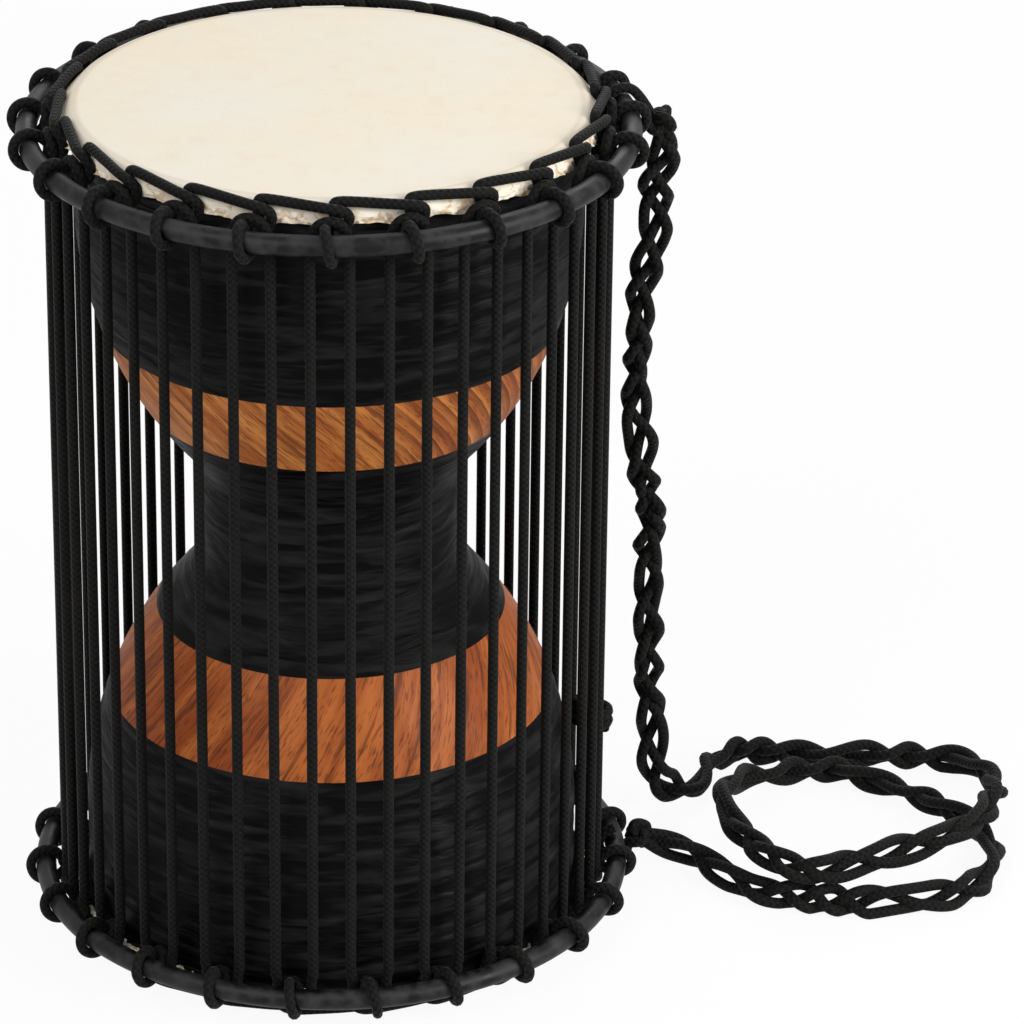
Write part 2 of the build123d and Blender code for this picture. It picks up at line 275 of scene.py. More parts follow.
shader = put(
    tree,
    "BsdfPrincipled",
    {
        "Base Color": dust_and_painted_light.outputs[2],
        "Roughness": 0.7,
        "IOR": 1.5,
        "Specular IOR Level": 0.09,
        "Sheen Weight": 0.04,
        "Sheen Roughness": 0.4,
        "Normal": bump.outputs[0],
    },
)
put(tree, "OutputMaterial", {0: shader.outputs[0]})

# Carved hardwood, stained black and waxed: soft gouge marks round the shell, with a painted highlight of
# dark grey on their ridges.
# The wood's fine grain is 0.3 mm wide and drawn 1.1 mm wide.
gouge_width = 4.5 * mm
gouge_length = 30 * mm
grain_width = 1.111 * mm
grain_length = 6.25 * mm
black_stained_wood, tree = new_finish("black_stained_wood")
where = put(tree, "TexCoord")
squat = put(
    tree,
    "VectorMath",
    {0: where.outputs["Object"], 1: (1 / gouge_length, 1 / gouge_length, 1 / gouge_width)},
    operation="MULTIPLY",
)
gouges = put(tree, "TexNoise", {"Vector": squat.outputs[0], "Scale": 1, "Detail": 3, "Distortion": 0.6})
fine = put(
    tree,
    "VectorMath",
    {0: where.outputs["Object"], 1: (1 / grain_length, 1 / grain_length, 1 / grain_width)},
    operation="MULTIPLY",
)
grain = put(tree, "TexNoise", {"Vector": fine.outputs[0], "Scale": 1, "Detail": 3})
wear = put(tree, "TexNoise", {"Vector": where.outputs["Object"], "Scale": 1 / (30 * mm), "Detail": 3})
height = put(tree, "Math", {0: grain.outputs[0], 1: 0.12, 2: gouges.outputs[0]}, operation="MULTIPLY_ADD")
bump = put(tree, "Bump", {"Strength": 0.9, "Distance": 2 * mm, "Height": height.outputs[0]})
# Painted highlight: the ridges of the gouge pattern are painted dark grey where light would glint on them
rub_wear_and_ridge_highlight = put(tree, "MapRange", {0: gouges.outputs[0], 1: 0.45, 2: 0.7})
stain_and_ridge_highlight = put(
    tree, "Mix", {0: rub_wear_and_ridge_highlight.outputs[0], 6: paint("#030303"), 7: paint("#232325")}, data_type="RGBA"
)
gloss = put(tree, "MapRange", {0: wear.outputs[0], 1: 0.35, 2: 0.65, 3: 0.42, 4: 0.6})
shader = put(
    tree,
    "BsdfPrincipled",
    {
        "Base Color": stain_and_ridge_highlight.outputs[2],
        "Roughness": gloss.outputs[0],
        "IOR": 1.5,
        "Specular IOR Level": 0.07,
        "Normal": bump.outputs[0],
    },
)
put(tree, "OutputMaterial", {0: shader.outputs[0]})


# Oiled hardwood, smoothed: warm orange brown with slanting streaks, and thin dark lines and pores along
# the same slant. Where the log's grain waves, it has a flame of pale and dark stripes.
# The pores are 0.2 mm wide and drawn 0.8 mm wide.
band_radius = 75 * mm
streak_width = 6 * mm
line_width = 2.4 * mm
pore_width = 0.8 * mm
flame_width = 6 * mm
streak_stretch = 10
pore_stretch = 5


def oiled_hardwood(name, slant, flamed, pale, warm, dark):
    """The bare wood of a band.

    Its grain slants by slant radians for each metre of height, and flamed is its flame's share.
    """
    made, tree = new_finish(name)
    where = put(tree, "TexCoord")
    parts = put(tree, "SeparateXYZ", {0: where.outputs["Object"]})
    twist = put(tree, "Math", {0: parts.outputs["Z"], 1: slant}, operation="MULTIPLY")
    flat = put(tree, "VectorMath", {0: where.outputs["Object"], 1: (1, 1, 0)}, operation="MULTIPLY")
    round_way = put(tree, "VectorMath", {0: flat.outputs[0]}, operation="NORMALIZE")
    laid = put(
        tree,
        "VectorRotate",
        {"Vector": round_way.outputs[0], "Angle": twist.outputs[0]},
        rotation_type="Z_AXIS",
    )
    even = put(tree, "VectorMath", {0: laid.outputs[0], "Scale": band_radius}, operation="SCALE")
    grain_run = put(
        tree,
        "VectorMath",
        {0: where.outputs["Object"], 1: (0, 0, 1 / streak_stretch)},
        operation="MULTIPLY",
    )
    long_grain = put(tree, "VectorMath", {0: even.outputs[0], 1: grain_run.outputs[0]}, operation="ADD")
    figure = put(
        tree,
        "TexNoise",
        {"Vector": long_grain.outputs[0], "Scale": 1 / streak_width, "Detail": 2, "Distortion": 0.35},
    )
    lines = put(tree, "TexNoise", {"Vector": long_grain.outputs[0], "Scale": 1 / line_width, "Detail": 3})
    pore_run = put(
        tree,
        "VectorMath",
        {0: where.outputs["Object"], 1: (0, 0, 1 / pore_stretch)},
        operation="MULTIPLY",
    )
    short_grain = put(tree, "VectorMath", {0: even.outputs[0], 1: pore_run.outputs[0]}, operation="ADD")
    pores = put(tree, "TexNoise", {"Vector": short_grain.outputs[0], "Scale": 1 / pore_width, "Detail": 2})
    figured = put(tree, "MapRange", {0: figure.outputs[0], 1: 0.35, 2: 0.65})
    ground = put(tree, "Mix", {0: figured.outputs[0], 6: paint(warm), 7: paint(pale)}, data_type="RGBA")
    turned = put(tree, "SeparateXYZ", {0: laid.outputs[0]})
    backward = put(tree, "Math", {0: turned.outputs["Y"], 1: -1}, operation="MULTIPLY")
    bearing = put(tree, "Math", {0: turned.outputs["X"], 1: backward.outputs[0]}, operation="ARCTAN2")
    wander = put(tree, "Math", {0: figure.outputs[0], 1: 0.9}, operation="MULTIPLY")
    flame_turns = put(
        tree,
        "Math",
        {0: bearing.outputs[0], 1: band_radius / flame_width, 2: wander.outputs[0]},
        operation="MULTIPLY_ADD",
    )
    flame = put(tree, "Math", {0: flame_turns.outputs[0]}, operation="FRACT")
    facing = put(tree, "SeparateXYZ", {0: round_way.outputs[0]})
    flame_share = put(tree, "MapRange", {0: facing.outputs["X"], 1: 0.0, 2: 0.45, 3: 0.0, 4: flamed})
    flame_depth = put(tree, "Math", {0: flame.outputs[0], 1: flame_share.outputs[0]}, operation="MULTIPLY")
    flaming = put(
        tree, "Mix", {0: flame_depth.outputs[0], 6: ground.outputs[2], 7: paint(dark)}, data_type="RGBA"
    )
    streaky = put(tree, "MapRange", {0: lines.outputs[0], 1: 0.46, 2: 0.33, 3: 0.0, 4: 0.75})
    streaked = put(
        tree, "Mix", {0: streaky.outputs[0], 6: flaming.outputs[2], 7: paint(dark)}, data_type="RGBA"
    )
    flecky = put(tree, "MapRange", {0: pores.outputs[0], 1: 0.47, 2: 0.33, 3: 0.0, 4: 0.7})
    flecked = put(
        tree, "Mix", {0: flecky.outputs[0], 6: streaked.outputs[2], 7: paint(dark)}, data_type="RGBA"
    )
    bump = put(tree, "Bump", {"Strength": 0.25, "Distance": 0.3 * mm, "Height": pores.outputs[0]})
    shader = put(
        tree,
        "BsdfPrincipled",
        {
            "Base Color": flecked.outputs[2],
            "Roughness": 0.5,
            "IOR": 1.5,
            "Specular IOR Level": 0.2,
            "Normal": bump.outputs[0],
        },
    )
    put(tree, "OutputMaterial", {0: shader.outputs[0]})
    return made


upper_band_wood = oiled_hardwood("upper_band_wood", 11.0, 0.92, "#da8c46", "#b06028", "#682e0c")
lower_band_wood = oiled_hardwood("lower_band_wood", -7.0, 0.0, "#be6a31", "#96471a", "#5a250a")

# Goatskin, scraped and dried: matt cream with faint clouds, hair pores, a grey line where it turns
# over the rim, a paler skirt with painted tan shade in its folds and a thin tan line along its cut edge
goatskin, tree = new_finish("goatskin")
where = put(tree, "TexCoord")
flat = put(tree, "VectorMath", {0: where.outputs["Object"], 1: (1, 1, 0)}, operation="MULTIPLY")
out = put(tree, "VectorMath", {0: flat.outputs[0]}, operation="LENGTH")
clouds = put(tree, "TexNoise", {"Vector": where.outputs["Object"], "Scale": 1 / (45 * mm), "Detail": 4})
patches = put(tree, "TexNoise", {"Vector": where.outputs["Object"], "Scale": 1 / (9 * mm), "Detail": 4})
pores = put(tree, "TexNoise", {"Vector": where.outputs["Object"], "Scale": 1 / (1.2 * mm), "Detail": 2})
cloudy = put(tree, "MapRange", {0: clouds.outputs[0], 1: 0.35, 2: 0.65})
cream = put(tree, "Mix", {0: cloudy.outputs[0], 6: paint("#ede2cd"), 7: paint("#ebe5d7")}, data_type="RGBA")
patchy = put(tree, "MapRange", {0: patches.outputs[0], 1: 0.5, 2: 0.75, 3: 0.0, 4: 0.35})
mottled = put(
    tree, "Mix", {0: patchy.outputs[0], 6: cream.outputs[2], 7: paint("#e8d6bb")}, data_type="RGBA"
)
off_rim = put(tree, "Math", {0: out.outputs["Value"], 1: rim_radius - 1.2 * mm}, operation="SUBTRACT")
from_rim = put(tree, "Math", {0: off_rim.outputs[0]}, operation="ABSOLUTE")
creased = put(tree, "MapRange", {0: from_rim.outputs[0], 1: 0.3 * mm, 2: 1.6 * mm, 3: 0.28, 4: 0.0})
rimmed = put(
    tree, "Mix", {0: creased.outputs[0], 6: mottled.outputs[2], 7: paint("#b9aa93")}, data_type="RGBA"
)
high = put(tree, "SeparateXYZ", {0: where.outputs["Object"]})
off_middle = put(tree, "Math", {0: high.outputs["Z"], 1: middle}, operation="SUBTRACT")
from_middle = put(tree, "Math", {0: off_middle.outputs[0]}, operation="ABSOLUTE")
skirt_edge = ring_spacing / 2 + skirt_low
edging = put(
    tree,
    "MapRange",
    {0: from_middle.outputs[0], 1: skirt_edge - 1 * mm, 2: skirt_edge + 1.1 * mm, 3: 0.8, 4: 0.0},
)
outside = put(tree, "MapRange", {0: out.outputs["Value"], 1: 98 * mm, 2: 100 * mm, 3: 0.0, 4: 0.9})
# The skirt outside the rim is made paler than the head
paler_skirt = put(
    tree, "Mix", {0: outside.outputs[0], 6: rimmed.outputs[2], 7: paint("#fbf0de")}, data_type="RGBA"
)
# Painted shade: tan patches from a noise stand in for the shade in the skirt's folds
fold_shade_noise = put(
    tree,
    "TexNoise",
    {"Vector": where.outputs["Object"], "Scale": 1 / (5 * mm), "Detail": 2, "Distortion": 1.2},
)
fold_shade_range = put(tree, "MapRange", {0: fold_shade_noise.outputs[0], 1: 0.47, 2: 0.62, 3: 0.0, 4: 0.85})
fold_shade_share = put(tree, "Math", {0: fold_shade_range.outputs[0], 1: outside.outputs[0]}, operation="MULTIPLY")
fold_shaded = put(
    tree, "Mix", {0: fold_shade_share.outputs[0], 6: paler_skirt.outputs[2], 7: paint("#cbab80")}, data_type="RGBA"
)
tanned = put(
    tree, "Mix", {0: edging.outputs[0], 6: fold_shaded.outputs[2], 7: paint("#c2a47c")}, data_type="RGBA"
)
bump = put(tree, "Bump", {"Strength": 0.25, "Distance": 0.3 * mm, "Height": pores.outputs[0]})
shader = put(
    tree,
    "BsdfPrincipled",
    {
        "Base Color": tanned.outputs[2],
        "Roughness": 0.65,
        "IOR": 1.5,
        "Specular IOR Level": 0.25,
        "Normal": bump.outputs[0],
    },
)
put(tree, "OutputMaterial", {0: shader.outputs[0]})

# Steel bar, powder coated black: satin dark grey with a fine orange peel and paler rubbed patches
powder_coat, tree = new_finish("powder_coat")
where = put(tree, "TexCoord")
peel = put(tree, "TexNoise", {"Vector": where.outputs["Object"], "Scale": 1 / (1.5 * mm), "Detail": 2})
rubs = put(tree, "TexNoise", {"Vector": where.outputs["Object"], "Scale": 1 / (7 * mm), "Detail": 4})
rub_wear_and_ridge_highlight = put(tree, "MapRange", {0: rubs.outputs[0], 1: 0.42, 2: 0.7})
coat = put(tree, "Mix", {0: rub_wear_and_ridge_highlight.outputs[0], 6: paint("#060607"), 7: paint("#2f2f31")}, data_type="RGBA")
gloss = put(tree, "MapRange", {0: rubs.outputs[0], 1: 0.35, 2: 0.65, 3: 0.4, 4: 0.58})
bump = put(tree, "Bump", {"Strength": 0.3, "Distance": 0.15 * mm, "Height": peel.outputs[0]})
shader = put(
    tree,
    "BsdfPrincipled",
    {
        "Base Color": coat.outputs[2],
        "Roughness": gloss.outputs[0],
        "IOR": 1.5,
        "Specular IOR Level": 0.2,
        "Normal": bump.outputs[0],
    },
)
put(tree, "OutputMaterial", {0: shader.outputs[0]})


def piece(name, mesh, finishes, nodes=(), body="drum"):
    """A finished piece of the drum that stands for the nodes it is given and rides on a body."""
    made = bpy.data.objects.new(name, mesh)
    scene.collection.objects.link(made)
    for finish in finishes:
        mesh.materials.append(finish)
    if nodes:
        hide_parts(*nodes)
    if body:
        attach(made, body)
    return made


# Strap: an open plait of three ropes along the route of the solid.
# hang_run: millimetres out from the ring's middle line, millimetres back, share of the upper ring's height
hang_run = [
    (12.5, 23.5, 0.961),
    (13.2, 24.2, 0.927),
    (10.0, 26.5, 0.890),
    (13.0, 29.0, 0.834),
    (8.5, 31.5, 0.779),
    (6.0, 34.0, 0.711),
    (6.7, 36.5, 0.643),
    (6.0, 39.0, 0.575),
    (9.0, 41.5, 0.513),
    (12.5, 44.5, 0.442),
    (13.6, 47.5, 0.371),
    (13.0, 51.0, 0.297),
    (14.5, 54.0, 0.222),
    (15.0, 57.0, 0.145),
    (16.5, 58.0, 0.102),
]
strap_low = 6.1 * mm
step = 12.7 * mm
hang_points = [(ring_radius + out * mm, depth * mm, ring_high * share) for out, depth, share in hang_run]
# landing_run and coil_run: millimetres out and back in the same way, steps above the strap's lowest place
landing_run = [(17.3, 58.0, 1.14), (20.8, 57.8, 0.54), (28.0, 58.5, 0.16)]
coil_run = [
    (35.0, 63.0, 0.02),
    (38.5, 72.0, 0.0),
    (42.0, 86.0, 0.0),
    (51.0, 95.0, 0.0),
    (67.0, 95.5, 0.0),
    (90.0, 92.0, 0.0),
    (113.0, 91.0, 0.0),
    (133.0, 91.5, 0.0),
    (147.0, 85.0, 0.1),
    (154.0, 72.0, 0.3),
    (156.5, 57.0, 0.6),
    (156.0, 42.0, 0.9),
    (152.0, 26.0, 1.0),
    (143.0, 11.0, 1.0),
    (130.0, -2.0, 1.0),
    (111.0, -11.0, 1.0),
    (94.0, -20.0, 1.0),
    (80.0, -26.5, 1.0),
    (67.0, -23.5, 1.0),
    (56.0, -10.0, 1.0),
    (49.0, 6.0, 1.0),
    (45.0, 23.0, 1.0),
    (45.0, 40.0, 0.94),
    (49.0, 55.0, 0.66),
    (57.0, 67.0, 0.27),
    (69.0, 75.0, 0.06),
    (83.0, 80.5, 0.0),
    (96.0, 79.5, 0.0),
    (108.0, 71.5, 0.0),
    (121.0, 61.0, 0.0),
    (135.0, 48.5, 0.0),
    (146.0, 34.0, 0.0),
    (152.0, 19.0, 0.0),
    (152.5, 3.0, 0.0),
    (146.5, -12.0, 0.0),
    (135.0, -22.0, 0.0),
    (116.0, -27.5, 0.0),
    (96.0, -29.0, 0.0),
    (77.0, -26.0, 0.0),
]
floor_points = [
    (ring_radius + out * mm, depth * mm, strap_low + steps * step)
    for out, depth, steps in landing_run + coil_run
]
tail_points = [
    (ring_radius + 58 * mm, -21.5 * mm, strap_low),
    (ring_radius + 47 * mm, -11 * mm, strap_low),
    (ring_radius + 40 * mm, -1.5 * mm, strap_low),
    (ring_radius + 33.5 * mm, 6 * mm, strap_low),
    (ring_radius + 23 * mm, 10.8 * mm, strap_low + 3 * mm),
    (ring_radius + 14.5 * mm, 12.2 * mm, strap_low + 5.5 * mm),
]
knot_reach = 10 * mm


def into_knot(strap_end, strap_next):
    """The point where the strap's end comes out of its knot, in line with its last run."""
    away = (Vector(strap_end) - Vector(strap_next)).normalized()
    return tuple(Vector(strap_end) + away * knot_reach)


strap_route = [
    into_knot(hang_points[0], hang_points[1]),
    *hang_points,
    *floor_points,
    *tail_points,
    into_knot(tail_points[-1], tail_points[-2]),
]
strap_line = rope_line(strap_route, fineness=24)

# Sizes of the plait where it hangs and where it lies
hanging_period = 46 * mm
lying_period = 54 * mm
hanging_swing = 4.9 * mm
lying_swing = 5.2 * mm
widest_swing = 7.2 * mm
plait_depth = 2.4 * mm
plait_end = 22 * mm
knotted_share = 0.2
strand_radius = 2.25 * mm
coil_tilt = math.radians(66)
coil_middle = Vector((0.211, 0.030, 0))
lift_start = 25 * mm
lift_height = 30 * mm
front_height = 40 * mm
smoothing_rounds = 3
smoothing_reach = 22
drawn_out_share = 0.9
narrowed_share = 0.35
strand_clearance = 0.1 * mm

# How the plait wanders along the strap: the length over which each kind changes, and its seed
slack_length, slack_seed = 38 * mm, 3.1
slip_length, slip_seed = 46 * mm, 7.7
lag_length, lag_seed = 34 * mm, 5.3
pull_length, pull_seed = 27 * mm, 2.9
stray_length, stray_seed = 21 * mm, 11.3
stray_reach = 1.4 * mm

strap_directions = tangents(strap_line)
strap_sides = carried_sides(strap_directions)
strap_travel = [0.0]
for a, b in zip(strap_line, strap_line[1:]):
    strap_travel.append(strap_travel[-1] + (b - a).length)
strap_length = strap_travel[-1]


def hanging_share(place):
    """How far a place of the strap is off the floor, from 0 where it lies to 1 where it hangs."""
    return min(1.0, max(0.0, (place.z - lift_start) / lift_height))


# The plait faces the front where it hangs, and leans on its edge where it lies in the coil
plait_turns = []
for place, along, side in zip(strap_line, strap_directions, strap_sides):
    if place.z > front_height:
        wide = Vector((1, 0, 0))
    else:
        inward = (coil_middle - place) * Vector((1, 1, 0))
        wide = inward.normalized() * math.cos(coil_tilt) + Vector((0, 0, 1)) * math.sin(coil_tilt)
    turn = math.atan2(wide.dot(along.cross(side)), wide.dot(side))
    if plait_turns:
        turn += math.pi * round((plait_turns[-1] - turn) / math.pi)
    plait_turns.append(turn)
for _ in range(smoothing_rounds):
    nearby = [
        plait_turns[max(0, i - smoothing_reach) : i + smoothing_reach + 1] for i in range(len(plait_turns))
    ]
    plait_turns = [sum(turns) / len(turns) for turns in nearby]

# The strands are drawn out longer and narrower where the coil turns round its left and right ends
strands = [[], [], []]
plaited = 0.0
for i, place in enumerate(strap_line):
    travel = strap_travel[i]
    hanging = hanging_share(place)
    if i:
        drawn_out = 1 + drawn_out_share * strap_directions[i].y ** 2
        period = lying_period * drawn_out * (1 - hanging) + hanging_period * hanging
        plaited += 2 * math.pi * (travel - strap_travel[i - 1]) / period
    side = strap_sides[i]
    other = strap_directions[i].cross(side)
    turn = plait_turns[i]
    wide = side * math.cos(turn) + other * math.sin(turn)
    deep = other * math.cos(turn) - side * math.sin(turn)
    share = min(1.0, min(travel, strap_length - travel) / plait_end)
    open_share = knotted_share + (1 - knotted_share) * share * share * (3 - 2 * share)
    looseness = 1 + 0.7 * noise.noise(Vector((travel / slack_length, slack_seed, 0)))
    slip = 1.5 * noise.noise(Vector((travel / slip_length, slip_seed, 0)))
    narrowed = 1 - narrowed_share * strap_directions[i].y ** 2
    swing = (lying_swing * narrowed * (1 - hanging) + hanging_swing * hanging) * looseness * open_share
    for k, strand in enumerate(strands):
        lag_noise = noise.noise(Vector((travel / lag_length, lag_seed * (k + 1), 9)))
        pull_noise = noise.noise(Vector((travel / pull_length, pull_seed * (k + 1), 4)))
        stray_noise = noise.noise(Vector((travel / stray_length, stray_seed * (k + 1), 2)))
        lag = (0.8 + 0.8 * hanging) * lag_noise
        pull = 1 + (0.4 + 0.7 * hanging) * pull_noise
        stray = stray_reach * open_share * stray_noise
        phase = plaited + 2 * math.pi * k / 3 + slip + lag
        across = swing * pull * math.sin(phase) + stray
        across = widest_swing * math.tanh(across / widest_swing)
        through = plait_depth * (0.4 + 0.6 * open_share) * math.sin(2 * phase)
        point = place + wide * across + deep * through
        point.z = max(point.z, strand_radius + strand_clearance)
        strand.append(point)

strap_plait = piece(
    "strap_plait",
    rope_mesh("strap_plait", strands, strand_radius),
    [black_braid],
    ["strap_hang", "strap_coil", "strap_tail"],
)

# Strap ties: a turn of rope round the ring that ends in a knot over the plait's end
tie_turns = (-90, -138, -186, -234, -282, -322)
knot_steps = 30
knot_start = math.pi / 6
knot_unit = 1.65 * mm
knot_half = 3 * mm
knot_gap = 2.6 * mm


def tie_route(angle, end, strap_end, strap_next):
    """Once round a ring at an angle, then a knot wound twice round the line on from the strap's end."""
    hook = []
    for turn in tie_turns:
        out, rise = math.cos(math.radians(turn)), math.sin(math.radians(turn))
        hook.append(crown_point(ring_radius + wrap_reach * out, wrap_reach * rise, 0, angle, end))
    axis = (Vector(strap_end) - Vector(strap_next)).normalized()
    knot_middle = Vector(strap_end) + axis * (knot_gap + knot_half)
    across = Vector(hook[-1]) - knot_middle
    across = (across - axis * across.dot(axis)).normalized()
    aside = axis.cross(across)
    for i in range(knot_steps):
        turn = knot_start + 2 * math.pi * i / knot_steps
        across_share = math.sin(turn) + 2 * math.sin(2 * turn)
        aside_share = math.cos(turn) - 2 * math.cos(2 * turn)
        swing = across * across_share + aside * aside_share
        hook.append(tuple(knot_middle + swing * knot_unit + axis * (knot_half * math.sin(3 * turn))))
    return hook


for name, node, route in (
    ("upper_tie", "strap_top_tie", tie_route(6.5 * station, 1, hang_points[0], hang_points[1])),
    ("lower_tie", "strap_bottom_tie", tie_route(6 * station, -1, tail_points[-1], tail_points[-2])),
):
    line = rope_line(route, fineness=8)
    piece(name, rope_mesh(name, [line], floor=0), [black_braid], [node])

# Lacing: one rope along the fold of the skin that dives under each cord loop and goes once round the ring
wrap_turns = (157, 101, 46, -6, -59, -111, -162, -192)
wrap_arcs = (-0.42, -0.42, -0.3, -0.1, 0.12, 0.3, 0.44, 0.5)
wrap = [
    (
        ring_radius + wrap_reach * math.cos(math.radians(turn)),
        wrap_reach * math.sin(math.radians(turn)),
        arc * rope,
    )
    for turn, arc in zip(wrap_turns, wrap_arcs)
]
# A run ends past its station, below the start of the next one, and turns back behind the loop's leg
dive = [
    (skirt_radius + 3.1 * mm, 10.6 * mm, -0.06 * pitch),
    (skirt_radius + 3.9 * mm, 10.1 * mm, 0.12 * pitch),
    (skirt_radius + 2.4 * mm, 7.9 * mm, 0.25 * pitch),
    (skirt_radius + 0.9 * mm, 3.6 * mm, 0.25 * pitch),
    (skirt_radius + 1.2 * mm, -1.4 * mm, 0.13 * pitch),
    (skirt_radius + 3.0 * mm, -1.6 * mm, -0.06 * pitch),
]
climb = [
    (skirt_radius + 1.5 * mm, 3.4 * mm, 0.08 * pitch),
    (skirt_radius + 0.1 * mm, 8.4 * mm, 0.05 * pitch),
    (skirt_radius - 0.5 * mm, 11.3 * mm, 0.05 * pitch),
    (skirt_radius - 0.3 * mm, 11.9 * mm, 0.16 * pitch),
    (skirt_radius + 0.4 * mm, 11.6 * mm, 0.42 * pitch),
    (skirt_radius + 1.6 * mm, 10.9 * mm, 0.74 * pitch),
]
first_station = station_count // 2 + 1


def lacing_route(end):
    """The lacing of one end, joined at the back; the lower one is the upper one upside down."""
    stations = [(station * (first_station + i), (*dive, *wrap, *climb)) for i in range(station_count)]
    stations.append((station * (first_station + station_count), dive[:1]))
    route = []
    for angle, places in stations:
        for radius, rise, arc in places:
            if end > 0:
                route.append(crown_point(radius, rise, arc, angle, end))
            else:
                route.append(crown_point(radius, min(rise, lacing_rise), -arc, station / 2 - angle, end))
    return route


# Cord loops: where the tension rope turns back under the lacing at each station
loop_half = 6.3 * mm
loop_top = 6.4 * mm
loop_lean = 0.8 * mm
loop_steps = 8


def loop_route(end, angle):
    """One cord loop, from the top of one cord over to the next."""
    route = [crown_point(cord_radius, -leg_drop, -pitch / 4, angle, end)]
    for i in range(loop_steps + 1):
        turn = math.pi * (1 - i / loop_steps)
        bend = abs(math.sin(turn))
        radius = cord_radius + loop_lean * math.sqrt(bend)
        rise = loop_top - loop_half * (1 - bend)
        route.append(crown_point(radius, rise, loop_half * math.cos(turn), angle, end))
    return [*route, crown_point(cord_radius, -leg_drop, pitch / 4, angle, end)]


for end_name, end, shift in (("top", 1, 0), ("bottom", -1, station / 2)):
    line = rope_line(lacing_route(end), fineness=5)
    piece(
        f"{end_name}_lacing_rope",
        rope_mesh("lacing", [line], floor=0),
        [black_braid],
        [f"{end_name}_lacing"],
    )
    routes = [loop_route(end, station * i + shift) for i in range(station_count)]
    lines = [rope_line(route, fineness=4) for route in routes]
    piece(
        f"{end_name}_loop_ropes",
        rope_mesh("loops", lines),
        [black_braid],
        [f"{end_name}_loops"],
    )


# Tension cords: straight between the loops' legs, half a station apart
cord_step = 6 * mm
squeeze_count = 8
side_count = station_count - squeeze_count


def cord_lines(angles, low, high, mirrored=1):
    """The stretch of each cord between two heights; mirrored -1 puts a front cord at the back."""
    lines = []
    steps = max(2, math.ceil((high - low) / cord_step))
    for angle in angles:
        turn = math.radians(angle)
        across, depth = cord_radius * math.sin(turn), -mirrored * cord_radius * math.cos(turn)
        lines.append([Vector((across, depth, high + (low - high) * i / steps)) for i in range(steps + 1)])
    return lines


squeezed = [(i + 0.5 - squeeze_count / 2) * station / 2 for i in range(squeeze_count)]
right_side = [(i + 0.5 + squeeze_count / 2) * station / 2 for i in range(side_count)]
left_side = [-angle for angle in right_side]
for name, angles in (("right_cords", right_side), ("left_cords", left_side)):
    mesh = rope_mesh(name, cord_lines(angles, cord_low, cord_high))
    piece(f"{name}_rope", mesh, [black_braid], [name])

# Hitches: the tension rope's joined ends, wound round two of the right cords at three places
hitch_radius = 4 * mm
hitch_pitch = 4.1 * mm
hitch_turns = 2.75
hitch_steps = 24
hitch_tuck = 0.6
hitch_lines = []
for cord, height in ((7, 74 * mm), (9, 61 * mm), (9, 29 * mm)):
    turn = math.radians(right_side[cord])
    stem = Vector((cord_radius * math.sin(turn), -cord_radius * math.cos(turn), height))
    route = []
    for i in range(hitch_steps + 1):
        swing = 2 * math.pi * hitch_turns * i / hitch_steps
        tucked = hitch_tuck if i in (0, hitch_steps) else 1.0
        across = Vector((math.cos(swing), math.sin(swing), 0)) * hitch_radius * tucked
        rise = hitch_pitch * hitch_turns * (i / hitch_steps - 0.5)
        route.append(tuple(stem + across + Vector((0, 0, rise))))
    hitch_lines.append(rope_line(route, fineness=6))
piece("cord_hitches", rope_mesh("hitches", hitch_lines), [black_braid])

# Squeezed cords are drawn as three straight pieces that meet a little above and below mid height, and their
# lower ends slide over the loops' legs
bend_half = 24 * mm
bend_high = middle + bend_half
bend_low = middle - bend_half
slide_length = 3 * mm
slide_clearance = 0.03 * mm
for name, mirrored in (("front", 1), ("back", -1)):
    upper_lines = cord_lines(squeezed, bend_high, cord_high, mirrored)
    upper = piece(
        f"{name}_cords_above",
        rope_mesh("above", upper_lines),
        [black_braid],
        [f"{name}_upper_cords"],
        body=None,
    )
    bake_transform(upper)
    bend_lines = cord_lines(squeezed, bend_low, bend_high, mirrored)
    mesh = rope_mesh("bend", bend_lines, start=cord_high - bend_high)
    bend = piece(f"{name}_cords_bend", mesh, [black_braid], body=None)
    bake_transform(bend)
    lower_lines = cord_lines(squeezed, cord_low - slide_length, bend_low, mirrored)
    piece(
        f"{name}_cords_below",
        rope_mesh("below", lower_lines, rope / 2 + slide_clearance, start=cord_high - bend_low),
        [black_braid],
        [f"{name}_lower_cords"],
        body=f"{name}_lower",
    )

# Tuning rings: round bar
bar_sides = 16
turned_columns = 8 * station_count
for end_name, height in (("top", ring_high), ("bottom", ring_low)):
    outline = []
    for i in range(bar_sides):
        turn = -2 * math.pi * i / bar_sides
        out, rise = ring_rod / 2 * math.cos(turn), ring_rod / 2 * math.sin(turn)
        outline.append((ring_radius + out, height + rise))
    mesh = turned_mesh("ring", outline, turned_columns)
    piece(f"{end_name}_ring_bar", mesh, [powder_coat], [f"{end_name}_ring"])

# Shell: turned hourglass with gouge marks on its black parts and two smooth bands of bare wood
bands = ((91.7 * mm, 126.2 * mm), (214.7 * mm, 248.7 * mm))
easing_run = 2.4 * waist_easing
mark_spacing = 6.4 * mm
mark_depth = 0.8 * mm
mark_fade = 2.5 * mm
drift_height = 30 * mm
patch_height = 9 * mm
outer_depth = 2 * mm


